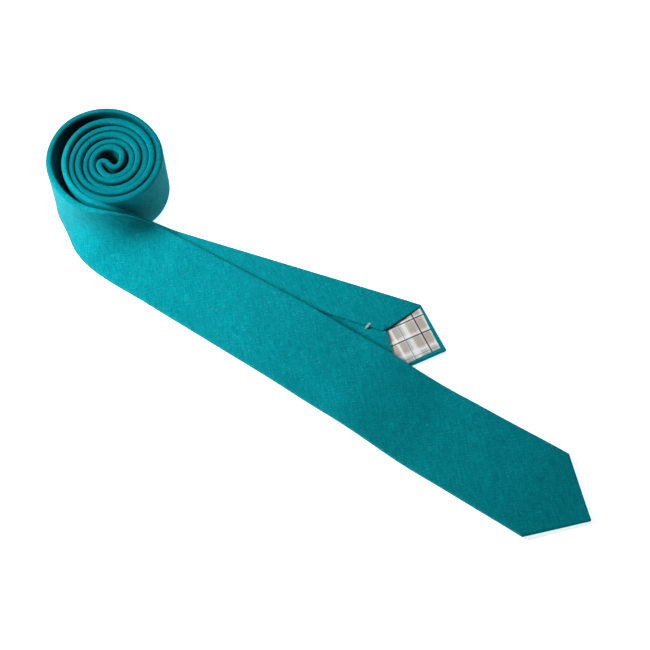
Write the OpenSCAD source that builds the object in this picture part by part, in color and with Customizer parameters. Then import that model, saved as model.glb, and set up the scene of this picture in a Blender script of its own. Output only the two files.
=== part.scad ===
// A folded-cloth necktie, doubled at its neck, rolled up from the fold and standing on its edge.
// Its two ends leave the roll, twist down and lie flat: the front blade face up, over the tail.
// One strand runs from the front blade's point (distance 0) through the roll to the tail's point.
// Frame: the front blade lies along +X with its point at +X, and the table is z = 0.

/* [Front blade] */
// Width of the front blade at its shoulders
blade_w = 60; // [52:0.5:72]
// Length of the front blade that lies flat, from its point to its fold line
blade_flat = 322; // [270:1:390]
// Width that the front blade loses for each millimetre of its length
blade_taper = 0.0375; // [0.030:0.0005:0.045]
// Length of the front blade's cloth, from its point to its join with the neck
blade_piece = 760; // [700:1:800]

/* [Tail] */
// Width of the tail at its shoulders
tail_w = 49.5; // [42:0.5:58]
// Length of the tail that lies flat, from its point to its fold line
tail_flat = 200; // [165:1:240]
// Width that the tail loses for each millimetre of its length
tail_taper = 0.025; // [0.020:0.0005:0.030]
// Length of the tail's cloth, from its point to its join with the neck
tail_piece = 470; // [430:1:500]
// Angle between the tail and the front blade
tail_angle = 12; // [8:0.5:14]

/* [Neck] */
// Least width of the strand, round the neck
neck_w = 33; // [28:0.5:38]

/* [Cloth] */
// Thickness of the outer cloth
fabric = 0.45; // [0.35:0.01:0.55]
// Thickness of the wool interlining
interlining_t = 2; // [1.5:0.05:2.5]
// Thickness of the tipping cloth
tipping_t = 0.35; // [0.25:0.01:0.45]
// Air between two plies
ply_gap = 0.25; // [0.2:0.01:0.3]
// Overlap of the two back flaps at the centre back
lap = 8; // [6:0.5:10]
// Share of the full thickness that is left at the points
point_share = 0.7; // [0.6:0.05:1]

/* [Roll] */
// Radius at which the front blade's middle ply leaves the roll
roll_r = 36.3; // [32:0.1:44]
// Air between two layers of the roll
layer_gap = 0.55; // [0.5:0.01:0.8]
// How far the outermost turn of the blade stands off the roll where it leaves
spring_off = 5.5; // [4:0.1:7]
// Share by which the roll is longer than it is round
squash = 0.03; // [0:0.005:0.04]
// Height by which the flat blade rides above the table where it lies on the tail
ride = 7.5; // [6.8:0.1:9]
// Height of the soft waves in the flat blade
wave = 0.8; // [0:0.1:1]
// How strongly the blade is bowed where it twists from standing to lying, in degrees
bow = 48; // [20:1:55]
// How strongly the tail is bowed where it twists, in degrees
tail_bow = 53; // [20:1:60]
// How far both ends slant forward where they come off the roll, in degrees
slant = 30; // [15:1:32]

/* [Points and tipping] */
// Width of the hem of outer cloth round each point
hem = 3.3; // [2.5:0.1:4]
// Length of the opening from the shoulders back to the centre seam, as a share of the half width
mouth = 0.62; // [0.5:0.01:0.7]

/* [Stitching] */
// Length of a bar tack, across the seam
tack_l = 5.4; // [4:0.1:7]
// Width of a bar tack, along the seam
tack_w = 2; // [1.5:0.1:2.5]
// Distance of each bar tack behind the corner of its opening
tack_back = 11; // [8:0.5:16]
// Spacing of the slip stitches along the centre back
stitch_pitch = 15; // [12:0.5:25]
// Diameter of the sewing thread
thread_d = 0.5; // [0.4:0.05:0.6]

/* [Keeper loop] */
// Width of the keeper loop, along the blade
loop_w = 12; // [8:0.5:16]
// Length of the keeper loop, across the blade
loop_l = 36; // [28:0.5:40]
// Distance of the loop's near edge from the front blade's point
loop_at = 208; // [195:1:225]
// Thickness of the keeper loop's folded strip
loop_t = 0.9; // [0.7:0.05:1]
// Height of the loop's middle off the blade's back
loop_rise = 0.8; // [0.6:0.05:0.9]
// Length of each end of the loop that lies on the blade
loop_end = 5; // [4:0.5:6]

/* [Hidden] */

teal = [0.04, 0.55, 0.60];
wool = [0.86, 0.83, 0.74];
check = [0.80, 0.78, 0.74];
thread = [0.72, 0.80, 0.82];

thick = 3 * fabric + 3 * ply_gap + interlining_t;   // whole folded tie
layer = thick + layer_gap;                          // pitch of the roll's layers
leave_a = 191.5;                                    // angle at which both ends leave the spiral
squash_a = 114.5;                                   // angle of the roll's long diameter
core_r = 2.56 * layer;                              // radius at which the spiral meets the core
core_a = -31.7;                                     // angle at which the core was drawn to meet it
core_lag = 0.4197;                                  // turns by which the tail stops short of the blade
blade_turns = (roll_r - core_r) / (2 * layer);
tail_turns = blade_turns - core_lag;
blade_end_a = leave_a - 360 * blade_turns;
tail_end_a = leave_a - 360 * tail_turns;
turn_step = 15;                                     // degrees between two rings of the spiral

blade_axis = roll_r + 0.3;                          // the flat blade's axis runs this far from the roll's
fold_x = roll_r + 6.4;                              // fold line of the blade, from the roll's centre
tail_fold = [fold_x + 2.3, 6.9 - blade_axis];       // fold line of the tail, on its own axis
blade_twist = [-0.1102 * roll_r, fold_x + 1.6];     // the blade leans more and more between these x
tail_twist = [-0.0275 * roll_r, fold_x + 2.2];      // and the tail between these
slant_x = roll_r * [-0.9917, -0.1928, 0.6612];      // the slant starts, is full, and starts to end here
tail_slant_share = 0.6;                             // slant of the tail, as a share of the blade's
tail_end_x = tail_fold.x + tail_flat * cos(tail_angle);
ride_run = 65;                                      // length over which the blade climbs onto the tail
ride_at = tail_end_x + 24;                          // where that climb starts
fold_gap = 0.4;                                     // slit between a lying end and the roll, at the fold
point_cut = 0.8;                                    // the blunt end of each point
pin_clear = 0.05;                                   // depth of a stitch's end below the cloth's face

function smooth(x) = let (c = min(max(x, 0), 1)) c * c * (3 - 2 * c);

// ---- the strand's middle line in plan: [x, y] ----

function polar(a, r) = [r * cos(a), r * sin(a)];
function spiral_r(a, r0) = (r0 + 2 * layer * (a - leave_a) / 360) * (1 + squash * cos(2 * (a - squash_a)));
function blade_turn(a) = polar(a, spiral_r(a, roll_r) + spring_off * smooth((a - 75) / (leave_a - 75)));
function tail_turn(a) = polar(a, spiral_r(a, roll_r - layer) + 1.2 * smooth((a - 100) / (leave_a - 100)));

// The core, in layers: the strand comes round, folds back on itself, crosses and folds back again
core_knots = [[1.52, -2.03], [0.69, -2.24], [-0.15, -2.07], [-0.86, -1.75], [-1.25, -1.39],
              [-1.35, -0.98], [-1.13, -0.64], [-0.65, -0.51], [-0.05, -0.64], [0.50, -0.72],
              [0.98, -0.58], [1.26, -0.16], [1.25, 0.42], [1.08, 1.02], [0.72, 1.62], [0.12, 2.10]];
function turned(p, a) = [p.x * cos(a) - p.y * sin(a), p.x * sin(a) + p.y * cos(a)];
core_spin = blade_end_a - core_a;
function core_point(k) = turned(core_knots[k] * layer, core_spin);
core_way = concat([blade_turn(blade_end_a + 2 * turn_step), blade_turn(blade_end_a)],
                  [for (k = [0:len(core_knots) - 1]) core_point(k)],
                  [tail_turn(tail_end_a), tail_turn(tail_end_a + 2 * turn_step)]);
function between(a, b, c, d, t) =
    0.5 * (2 * b + (c - a) * t + (2 * a - 5 * b + 4 * c - d) * t * t + (3 * b - a - 3 * c + d) * t * t * t);
core_cuts = 3;
core_line = [for (k = [1:len(core_way) - 3])
             for (j = [(k == 1 ? 1 : 0):core_cuts - 1])
             between(core_way[k - 1], core_way[k], core_way[k + 1], core_way[k + 2], j / core_cuts)];

function bezier(a, b, c, d, t) =
    a * pow(1 - t, 3) + 3 * b * t * pow(1 - t, 2) + 3 * c * t * t * (1 - t) + d * pow(t, 3);
leave_cuts = 20;
blade_pull = roll_r * [1.405, 0.606];               // how straight the blade leaves the roll and meets its fold
tail_pull = roll_r * [1.1846, 0.3581];              // the same for the tail
function heading(f, a) = let (v = f(a + 1) - f(a - 1)) v / norm(v);
blade_from = blade_turn(leave_a);
blade_out = [for (k = [0:leave_cuts])
             bezier(blade_from, blade_from + blade_pull[0] * heading(function(a) blade_turn(a), leave_a),
                    [fold_x - blade_pull[1], -blade_axis], [fold_x, -blade_axis], k / leave_cuts)];
tail_from = tail_turn(leave_a);
tail_way = [cos(tail_angle), sin(tail_angle)];
tail_out = [for (k = [0:leave_cuts])
            bezier(tail_from, tail_from + tail_pull[0] * heading(function(a) tail_turn(a), leave_a),
                   tail_fold - tail_pull[1] * tail_way, tail_fold, k / leave_cuts)];

flat_step = 14;
function flat_cuts(l) = ceil(l / flat_step);
blade_line = [for (k = [0:flat_cuts(blade_flat) - 1])
              [fold_x + blade_flat * (1 - k / flat_cuts(blade_flat)), -blade_axis]];
tail_line = [for (k = [1:flat_cuts(tail_flat)]) tail_fold + tail_way * tail_flat * k / flat_cuts(tail_flat)];
function steps(turns) = ceil(360 * turns / turn_step);
blade_coil = [for (k = [1:steps(blade_turns)]) blade_turn(leave_a - 360 * blade_turns * k / steps(blade_turns))];
tail_coil = [for (k = [steps(tail_turns):-1:1]) tail_turn(leave_a - 360 * tail_turns * k / steps(tail_turns))];

// ---- lean, 0 where the strand lies face up, 90 where it stands, 180 where it lies face down,
// ---- and slant, by which its upper edge is ahead of its lower edge

function lying(x, twist) = smooth((x - twist[0]) / (twist[1] - twist[0]));
function slant_at(x, twist) = slant * smooth((x - slant_x[0]) / (slant_x[1] - slant_x[0]))
                              * smooth((twist[1] - x) / (twist[1] - slant_x[2]));
function standing(line) = [for (p = line) [p.x, p.y, 90, 0]];
function blade_leans(line) = [for (p = line)
    [p.x, p.y, 90 - 90 * lying(p.x, blade_twist), slant_at(p.x, blade_twist)]];
function tail_leans(line) = [for (p = line)
    [p.x, p.y, 90 + 90 * lying(p.x, tail_twist), slant_at(p.x, tail_twist) * tail_slant_share]];
function reversed(list) = [for (k = [len(list) - 1:-1:0]) list[k]];
way = concat(blade_leans(blade_line), blade_leans(reversed(blade_out)), standing(blade_coil),
             standing(core_line), standing(tail_coil), tail_leans(tail_out), tail_leans(tail_line));
last = len(way) - 1;
function plan(k) = [way[k].x, way[k].y];
dist = [for (k = 0, d = 0; k <= last; d = d + (k < last ? norm(plan(k + 1) - plan(k)) : 0), k = k + 1) d];
strand = dist[last];
head = [for (k = [0:last]) let (v = plan(min(k + 1, last)) - plan(max(k - 1, 0))) v / norm(v)];
col_x = [for (k = [0:last]) [dist[k], way[k].x]];
col_y = [for (k = [0:last]) [dist[k], way[k].y]];
col_lean = [for (k = [0:last]) [dist[k], way[k].z]];
col_slant = [for (k = [0:last]) [dist[k], way[k][3]]];
col_hx = [for (k = [0:last]) [dist[k], head[k].x]];
col_hy = [for (k = [0:last]) [dist[k], head[k].y]];

blade_fold_s = blade_flat;
tail_fold_s = strand - tail_flat;
blade_join_s = blade_piece;
tail_join_s = strand - tail_piece;

// ---- width, thickness and height along the strand ----

function from_point(s) = min(s, strand - s);
function full_w(s) = s < strand / 2 ? blade_w : tail_w;
function band_w(s) = max(neck_w, blade_w - blade_taper * (s - blade_w / 2),
                         tail_w - tail_taper * (strand - s - tail_w / 2));
function half_w(s) = s < strand / 2 ? min(s, min(blade_w, band_w(s)) / 2)
                                    : min(strand - s, min(tail_w, band_w(s)) / 2);
function share(s) = point_share + (1 - point_share) * smooth(from_point(s) / 50);
function waves(x) = wave * (sin(360 * x / 118) + 1) * smooth((tail_end_x - 30 - x) / 40)
                    * smooth((x - fold_x) / 30);
function lift(s, x, lean, bend) = s > strand / 2 ? 0
    : s < blade_flat ? ride * smooth((ride_at - x) / ride_run) + waves(x)
    : layer * cos(lean - bend / 2) + (ride + waves(x) - layer) * (1 - lean / 90);

// A place on the strand: [x, y, heading x, heading y, lean, bow, middle height, slant towards its end]
function station(s) = let (
        x = lookup(s, col_x),
        lean = lookup(s, col_lean),
        tipward = s < strand / 2 ? -1 : 1,
        bend = (s < strand / 2 ? bow : tail_bow) * sin(2 * lean),
        w = 2 * half_w(s),
        edge = abs(cos(lean - bend / 2)) * thick * share(s) / 2,
        tall = abs(bend) < 0.5 ? w / 2 * sin(lean) : w / (bend * PI / 180) * (cos(lean - bend / 2) - cos(lean)),
        over = lookup(s, col_slant),
        hd = [lookup(s, col_hx), lookup(s, col_hy)])
    [x, lookup(s, col_y), hd.x / norm(hd), hd.y / norm(hd), lean, bend,
     edge + tall * cos(over) + lift(s, x, lean, bend), over * tipward];

// A point of the strand: v runs across it from the lower edge up, n from its middle to its front face
function place(q, w, v, n) = let (
        bend = q[5] * PI / 180,
        a = q[4] + q[5] * v / w,
        up = cos(q[7]) * (abs(q[5]) < 0.5 ? v * sin(q[4]) : w / bend * (cos(q[4]) - cos(a))),
        out = cos(q[7]) * (abs(q[5]) < 0.5 ? v * cos(q[4]) : w / bend * (sin(a) - sin(q[4]))),
        along = v * sin(q[7]),
        side = n * sin(a) - out)
    [q[0] + q[2] * along - q[3] * side, q[1] + q[3] * along + q[2] * side, q[6] + up + n * cos(a)];

// Everything is centred on its own outline in plan
reach = [for (s = dist) for (v = [-1, 1]) let (w = 2 * half_w(s) + 0.01) place(station(s), w, v * w / 2, 0)];
reach_out = [for (s = dist) for (n = [-1, 1]) place(station(s), 2 * half_w(s) + 0.01, 0, n * thick / 2)];
all_x = [for (p = concat(reach, reach_out)) p.x];
all_y = [for (p = concat(reach, reach_out)) p.y];
middle = [(min(all_x) + max(all_x)) / 2, (min(all_y) + max(all_y)) / 2];

// ---- sections: [v, n] points ----

function shoulder(s) = full_w(s) / 2;
function seam_at(s) = shoulder(s) * (1 + mouth);
// Half width of the opening in the back, negative where the flaps overlap
function opening(s) = let (e = from_point(s), sh = shoulder(s), far = sh - 1.6)
    e >= seam_at(s) ? -lap / 2
    : e >= sh ? max(far * (seam_at(s) - e) / (seam_at(s) - sh) - 0.01, -lap / 2)
    : max(e - hem * sqrt(2) * (1 - pow(e / sh, 3)) - 1.6 * pow(e / sh, 3), e * 0.45);
function lapped(s) = opening(s) < 0 ? 1 : 0;

// Outer cloth: from the outer flap's end round the front to the inner flap's end, outside first and
// then back along the inside. The outer flap comes from the upper edge.
function shell_section(s) = let (
        h = half_w(s), k = share(s), t = thick * k / 2, f = fabric * k, r = min(t, h * 0.5),
        o = opening(s), jog = (f + ply_gap * k) * lapped(s), near = o < 0 ? -o : -min(o, h * 0.8),
        far = abs(near), end = o < 0 ? o : far - 0.1, step = min(far + 1.4, h * 0.93), c = r * (1 - cos(45)),
        m = (near + r - h) / 2, b = max(h - r, step + 0.1), g = (b + step) / 2)
    [[near, -t], [m, -t], [r - h, -t], [c - h, -t * cos(45)], [-h, 0], [c - h, t * cos(45)],
     [r - h, t], [(r - h) / 2, t], [0, t], [(h - r) / 2, t], [h - r, t],
     [h - c, t * cos(45)], [h, 0], [h - c, -t * cos(45)], [b, -t], [g, -t], [step, -t], [far, jog - t], [end, jog - t],
     [end, jog + f - t], [far, jog + f - t], [step, f - t], [g, f - t], [b, f - t], [h - f, 0],
     [h - r, t - f], [(h - r) / 2, t - f], [0, t - f], [(r - h) / 2, t - f], [r - h, t - f],
     [f - h, 0], [r - h, f - t], [m, f - t], [near, f - t]];
// Each outside point's partner on the inside, for the end faces
shell_pairs = [33, 32, 31, 31, 30, 29, 29, 28, 27, 26, 25, 25, 24, 23, 23, 22, 21, 20, 19];

// Half width of the shell's inner faces, inside the round of its two folds
function inner_half(s) = half_w(s) - thick * share(s) / 2;
function tip_end(w) = w / 2 * (1 + mouth) + 12;
function over_tipping(s) = from_point(s) > tip_end(full_w(s)) + 1 ? 0 : 1;
function interlining_section(s) = let (
        h = inner_half(s) - ply_gap, k = share(s), t = thick * k / 2,
        lo = (2 * fabric + 2 * ply_gap + tipping_t * over_tipping(s)) * k - t, hi = t - (fabric + ply_gap) * k)
    [[-h, hi], [-h / 2, hi], [0, hi], [h / 2, hi], [h, hi],
     [h, lo], [h / 2, lo], [0, lo], [-h / 2, lo], [-h, lo]];

function tipping_section(s) = let (
        h = inner_half(s), k = share(s), t = thick * k / 2,
        depth = smooth((from_point(s) - shoulder(s)) / (seam_at(s) - shoulder(s)) * 1.6),
        lo = (fabric + ply_gap / 2 + depth * (fabric + ply_gap)) * k - t)
    [[-h, lo + tipping_t * k], [h, lo + tipping_t * k], [h, lo], [-h, lo]];

// Keeper loop: its two ends lie on the blade's back and its middle stands off it
function loop_section(s) = let (
        h = loop_l / 2, top = -thick / 2 - ply_gap, arch = top - loop_rise,
        line = [[-h, top], [-h + loop_end, top], [-h + loop_end + 3, arch],
                [h - loop_end - 3, arch], [h - loop_end, top], [h, top]])
    concat(line, [for (k = [len(line) - 1:-1:0]) line[k] - [0, loop_t]]);

// ---- solids swept along the strand ----

function ring(s, section) = let (q = station(s), w = 2 * half_w(s))
    [for (p = section) place(q, w, -p.x, p.y) - [middle.x, middle.y, 0]];

// Points j and j + 1 of a section make an end face with their partners across its thickness
function end_face(a, b, c, d) = c == d ? [[a, b, c]] : [[a, b, c], [b, d, c]];
// Quads are split the same way all through the thickness, so that plies don't cross where they twist.
module sweep(list, section, pairs = []) {
    rings = [for (s = reversed(list)) ring(s, section(s))];
    middle_section = section(list[floor(len(list) / 2)]);
    n = len(middle_section);
    m = len(rings);
    rises = [for (j = [0:n - 1]) middle_section[(j + 1) % n].x > middle_section[j].x];
    across = len(pairs) > 0 ? pairs : [for (j = [0:n / 2 - 1]) n - 1 - j];
    near = [for (j = [0:len(across) - 2]) each end_face(j, j + 1, across[j], across[j + 1])];
    far = [for (f = near) [for (k = [2:-1:0]) f[k] + (m - 1) * n]];
    sides = [for (i = [0:m - 2]) for (j = [0:n - 1]) let (a = i * n + j, b = i * n + (j + 1) % n)
             each rises[j] ? [[a, b + n, b], [a, a + n, b + n]] : [[a, a + n, b], [b, a + n, b + n]]];
    polyhedron(points = [for (r = rings) each r], faces = concat(far, sides, near), convexity = 20);
}

point_rings = [0.12, 0.25, 0.45, 0.65, 0.85, 0.97, 1];
mouth_rings = [0.25, 0.5, 0.75, 0.97];
function tip_e(w) = concat([point_cut], [for (f = point_rings) f * w / 2],
                           [for (f = mouth_rings) w / 2 * (1 + mouth * f)],
                           [w / 2 * (1 + mouth) + 0.5, w / 2 * (1 + mouth) + 6]);
function stops(s0, s1) = concat([s0], [for (d = dist) if (d > s0 + 0.6 && d < s1 - 0.6) d], [s1]);
blade_stops = concat(tip_e(blade_w), stops(tip_end(blade_w), blade_fold_s - fold_gap / 2));
tail_stops = concat(stops(tail_fold_s + fold_gap / 2, strand - tip_end(tail_w)),
                    reversed([for (e = tip_e(tail_w)) strand - e]));
join_gap = 0.1;
blade_rolled = stops(blade_fold_s + fold_gap / 2, blade_join_s - join_gap / 2);
neck_stops = stops(blade_join_s + join_gap / 2, tail_join_s - join_gap / 2);
tail_rolled = stops(tail_join_s + join_gap / 2, tail_fold_s - fold_gap / 2);

module shell(list) { color(teal) sweep(list, function(s) shell_section(s), shell_pairs); }
module interlining(list) { color(wool) sweep(list, function(s) interlining_section(s)); }
module tipping(list) { color(check) sweep(list, function(s) tipping_section(s)); }
function lined(list) = [for (s = list) if (from_point(s) > 8) s];
function tipped(list, w) = [for (s = list) if (from_point(s) > hem && from_point(s) < tip_end(w) + 1) s];

// A frame at a place of the strand: x along it, y across it, z towards its front face
module on_strand(s, v, n) {
    q = station(s);
    w = 2 * half_w(s);
    o = place(q, w, v, n) - [middle.x, middle.y, 0];
    a = q[4] + q[5] * v / w;
    y = [q[3] * cos(a), -q[2] * cos(a), sin(a)];
    z = [-q[3] * sin(a), q[2] * sin(a), cos(a)];
    multmatrix([[-q[2], y.x, z.x, o.x], [-q[3], y.y, z.y, o.y], [0, y.z, z.z, o.z]]) children();
}

// A stitch through both back flaps
module slip_stitch(s) {
    k = share(s);
    deep = (2 * fabric + ply_gap) * k - 2 * pin_clear;
    on_strand(s, lap / 4, pin_clear - thick * k / 2) cylinder(h = deep, d = thread_d, $fn = 16);
}
module slip_stitches(s0, s1) {
    count = floor((s1 - s0) / stitch_pitch);
    color(thread) for (k = [0:count]) slip_stitch(s0 + (s1 - s0) * k / count);
}

// A bar tack across the seam, sewn through both flaps; proud is its height above the cloth
module bar_tack(s, proud) {
    k = share(s);
    deep = (2 * fabric + ply_gap) * k - pin_clear + proud;
    color(thread) on_strand(s, 0, -thick * k / 2 - proud)
        linear_extrude(height = deep) hull() for (v = [-1, 1])
            translate([0, v * (tack_l - tack_w) / 2]) circle(d = tack_w, $fn = 24);
}

// The row of stitches that joins two pieces of outer cloth, inside the front ply
join_stitch_l = 3;
join_count = 6;
module join_stitches(s) {
    w = 2 * half_w(s);
    color(thread) for (k = [0:join_count - 1])
        on_strand(s, w * (k / (join_count - 1) - 0.5) * 0.8, thick / 2 - fabric / 2)
            rotate([0, 90, 0]) cylinder(h = join_stitch_l, d = fabric * 0.7, center = true, $fn = 16);
}

// The stitches that hold the keeper loop's two ends to the blade's back
module loop_stitches() {
    deep = loop_t + ply_gap + fabric - 2 * pin_clear;
    color(thread) for (side = [-1, 1]) for (f = [0.2, 0.4, 0.6, 0.8])
        on_strand(loop_at + loop_w * f, side * (loop_l / 2 - 2.5), pin_clear - thick / 2 - ply_gap - loop_t)
            cylinder(h = deep, d = thread_d, $fn = 16);
}
module loop_strip() {
    cuts = 3;
    color(teal) sweep([for (k = [0:cuts]) loop_at + loop_w * k / cuts], function(s) loop_section(s));
}

blade_tack_s = seam_at(0) + tack_back;
tail_tack_s = strand - seam_at(strand) - tack_back;
stitch_inset = 6;

shell(blade_rolled);  // blade_shell_rolled
shell(neck_stops);  // neck_shell
shell(tail_rolled);  // tail_shell_rolled
interlining(blade_rolled);  // blade_interlining_rolled
interlining(neck_stops);  // neck_interlining
interlining(tail_rolled);  // tail_interlining_rolled
join_stitches(blade_join_s);  // blade_neck_join
join_stitches(tail_join_s);  // neck_tail_join
union() {  // rolled_slip_stitch
    slip_stitches(blade_fold_s + stitch_inset, blade_join_s - stitch_inset);
    slip_stitches(blade_join_s + stitch_inset, tail_join_s - stitch_inset);
    slip_stitches(tail_join_s + stitch_inset, tail_fold_s - stitch_inset);
}
shell(blade_stops);  // blade_shell
interlining(lined(blade_stops));  // blade_interlining
tipping(tipped(blade_stops, blade_w));  // blade_tipping
bar_tack(blade_tack_s, 0);  // blade_bar_tack
slip_stitches(blade_tack_s + stitch_inset, blade_fold_s - stitch_inset);  // blade_slip_stitch
loop_strip();  // keeper_loop
loop_stitches();  // keeper_loop_stitches
shell(tail_stops);  // tail_shell
interlining(lined(tail_stops));  // tail_interlining
tipping(tipped(tail_stops, tail_w));  // tail_tipping
bar_tack(tail_tack_s, 0.4);  // tail_bar_tack
slip_stitches(tail_fold_s + stitch_inset, tail_tack_s - stitch_inset);  // tail_slip_stitch
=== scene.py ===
import math

import bpy
import numpy as np
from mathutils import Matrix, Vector


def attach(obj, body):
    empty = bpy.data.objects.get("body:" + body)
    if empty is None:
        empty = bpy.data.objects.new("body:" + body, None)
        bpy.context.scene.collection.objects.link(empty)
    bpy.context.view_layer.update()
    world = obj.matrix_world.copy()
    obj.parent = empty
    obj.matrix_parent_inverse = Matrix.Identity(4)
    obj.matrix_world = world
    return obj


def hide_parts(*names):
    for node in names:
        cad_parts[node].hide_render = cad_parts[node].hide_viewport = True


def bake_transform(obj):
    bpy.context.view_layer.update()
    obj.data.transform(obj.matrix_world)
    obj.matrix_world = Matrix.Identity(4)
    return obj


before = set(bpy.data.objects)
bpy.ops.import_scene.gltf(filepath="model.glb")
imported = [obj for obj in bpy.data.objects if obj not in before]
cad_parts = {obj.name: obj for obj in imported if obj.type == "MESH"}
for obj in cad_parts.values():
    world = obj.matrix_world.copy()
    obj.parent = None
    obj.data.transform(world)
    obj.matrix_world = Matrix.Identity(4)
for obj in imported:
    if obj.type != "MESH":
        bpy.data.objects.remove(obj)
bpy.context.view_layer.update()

# A slim necktie rolled up on its edge, with its front blade and its tail lying flat.
# The strand is one path from the front blade's point (distance 0) through the roll to the tail's point.
# All lengths are in millimetres here, as in the CAD model, and become metres when a mesh is made.
MM = 0.001

# ---- sizes of the tie, as in the CAD model ----
BLADE_W, BLADE_FLAT, BLADE_TAPER, BLADE_PIECE = 60, 322, 0.0375, 760
TAIL_W, TAIL_FLAT, TAIL_TAPER, TAIL_PIECE, TAIL_ANGLE = 49.5, 200, 0.025, 470, 12
NECK_W = 33
FABRIC, INTERLINING_T, TIPPING_T, PLY_GAP = 0.45, 2.0, 0.35, 0.25
LAP, POINT_SHARE = 8, 0.7
ROLL_R, LAYER_GAP, SPRING_OFF, TAIL_SPRING, SQUASH = 36.3, 0.55, 5.5, 1.2, 0.03
RIDE, WAVE, BOW, TAIL_BOW, SLANT = 7.5, 0.8, 48, 53, 30
HEM, MOUTH = 2.7, 0.62
TACK_L, TACK_W, TACK_BACK, STITCH_PITCH, THREAD_D = 5.4, 2.0, 11, 15, 0.5
LOOP_W, LOOP_L, LOOP_AT, LOOP_T, LOOP_RISE, LOOP_END = 12, 36, 208, 0.9, 0.8, 5

THICK = 3 * FABRIC + 3 * PLY_GAP + INTERLINING_T
LAYER = THICK + LAYER_GAP
LEAVE_A, SQUASH_A = 191.5, 114.5
CORE_R, CORE_A, CORE_LAG = 2.56 * LAYER, -31.7, 0.4197
BLADE_TURNS = (ROLL_R - CORE_R) / (2 * LAYER)
TAIL_TURNS = BLADE_TURNS - CORE_LAG
BLADE_END_A = LEAVE_A - 360 * BLADE_TURNS
TAIL_END_A = LEAVE_A - 360 * TAIL_TURNS
TURN_STEP, CORE_CUTS, LEAVE_CUTS, FLAT_STEP = 15, 3, 20, 14
BLADE_AXIS = ROLL_R + 0.3
FOLD_X = ROLL_R + 6.4
TAIL_FOLD = np.array([FOLD_X + 2.3, 6.9 - BLADE_AXIS])
BLADE_TWIST = (-0.1102 * ROLL_R, FOLD_X + 1.6)
TAIL_TWIST = (-0.0275 * ROLL_R, FOLD_X + 2.2)
SLANT_X = (-0.9917 * ROLL_R, -0.1928 * ROLL_R, 0.6612 * ROLL_R)
TAIL_SLANT_SHARE = 0.6
BLADE_PULL = (1.405 * ROLL_R, 0.606 * ROLL_R)
TAIL_PULL = (1.1846 * ROLL_R, 0.3581 * ROLL_R)
# Middle line of the innermost fold, in layer thicknesses, from the blade's side to the tail's
CORE_KNOTS = [(1.52, -2.03), (0.69, -2.24), (-0.15, -2.07), (-0.86, -1.75),
              (-1.25, -1.39), (-1.35, -0.98), (-1.13, -0.64), (-0.65, -0.51),
              (-0.05, -0.64), (0.50, -0.72), (0.98, -0.58), (1.26, -0.16),
              (1.25, 0.42), (1.08, 1.02), (0.72, 1.62), (0.12, 2.10)]
SPRING_A, TAIL_SPRING_A = 75, 100    # angles from which the outer turns spring off the spiral
POINT_RUN = 50                       # length over which the band comes to its full thickness
WAVE_L = 118                         # length of one wave of the lying blade
LEAST_BOW = 0.01                     # degrees, so that a flat band still has a radius

# ---- where the looks leave the CAD model, to lie as in the photo ----
RELAX, TWIST_LENGTH = 10, 125        # reach of the mean that relaxes the twist, and its length
DRIFT = (1.8, -3.1)                  # how far the blade's point lies off the CAD model's straight line
DRIFT_FROM, DRIFT_RUN = 60, 220      # the x where that starts, and the length over which it grows
DROOP = -2.0                         # height of the blade's free edge over the tail
RIPPLES, RIPPLE_REST = (0.28, 0.2), 0.48  # heights of the ripples, and a lift that keeps them above 0
OVER_TACK = 0.85                     # height of the blade over its bar tack
ROLLED_W = 42                        # a rolled turn narrower than this stands higher
LEVEL = 0.6                          # by this share of the width that it lacks
TIGHT = 0.055                        # share by which the roll is drawn in
TIGHT_R, TIGHT_X = (54, 14), (44, 40)  # that ends at this radius and this x, each with its fading length
FULLER = 0.09                        # share by which the rolled band is thicker: its turns nearly touch


def smooth(x):
    c = np.clip(x, 0, 1)
    return c * c * (3 - 2 * c)


def cos_d(a):
    return np.cos(np.radians(a))


def sin_d(a):
    return np.sin(np.radians(a))


# ---- the strand's middle line in plan ----
def polar(a, r):
    return np.array([r * cos_d(a), r * sin_d(a)])


def spiral_r(a, r0):
    return (r0 + 2 * LAYER * (a - LEAVE_A) / 360) * (1 + SQUASH * cos_d(2 * (a - SQUASH_A)))


def blade_turn(a):
    return polar(a, spiral_r(a, ROLL_R) + SPRING_OFF * smooth((a - SPRING_A) / (LEAVE_A - SPRING_A)))


def tail_turn(a):
    spring = TAIL_SPRING * smooth((a - TAIL_SPRING_A) / (LEAVE_A - TAIL_SPRING_A))
    return polar(a, spiral_r(a, ROLL_R - LAYER) + spring)


def heading(turn, a):
    v = turn(a + 1) - turn(a - 1)
    return v / np.hypot(*v)


def bezier(a, b, c, d, t):
    return a * (1 - t) ** 3 + 3 * b * t * (1 - t) ** 2 + 3 * c * t * t * (1 - t) + d * t ** 3


def between(a, b, c, d, t):
    """A point between b and c on the smooth curve through the four knots."""
    square, cube = 2 * a - 5 * b + 4 * c - d, 3 * b - a - 3 * c + d
    return 0.5 * (2 * b + (c - a) * t + square * t * t + cube * t ** 3)


def core_line():
    """The innermost fold, turned to meet the end of the blade's spiral and the end of the tail's."""
    spin = math.radians(BLADE_END_A - CORE_A)
    c, s = math.cos(spin), math.sin(spin)
    turned = [LAYER * np.array([x * c - y * s, x * s + y * c]) for x, y in CORE_KNOTS]
    ends = [blade_turn(BLADE_END_A + 2 * TURN_STEP), blade_turn(BLADE_END_A)]
    knots = ends + turned + [tail_turn(TAIL_END_A), tail_turn(TAIL_END_A + 2 * TURN_STEP)]
    return [between(*knots[k - 1:k + 3], j / CORE_CUTS)
            for k in range(1, len(knots) - 2) for j in range(1 if k == 1 else 0, CORE_CUTS)]


def lying(x, twist):
    return smooth((x - twist[0]) / (twist[1] - twist[0]))


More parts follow.
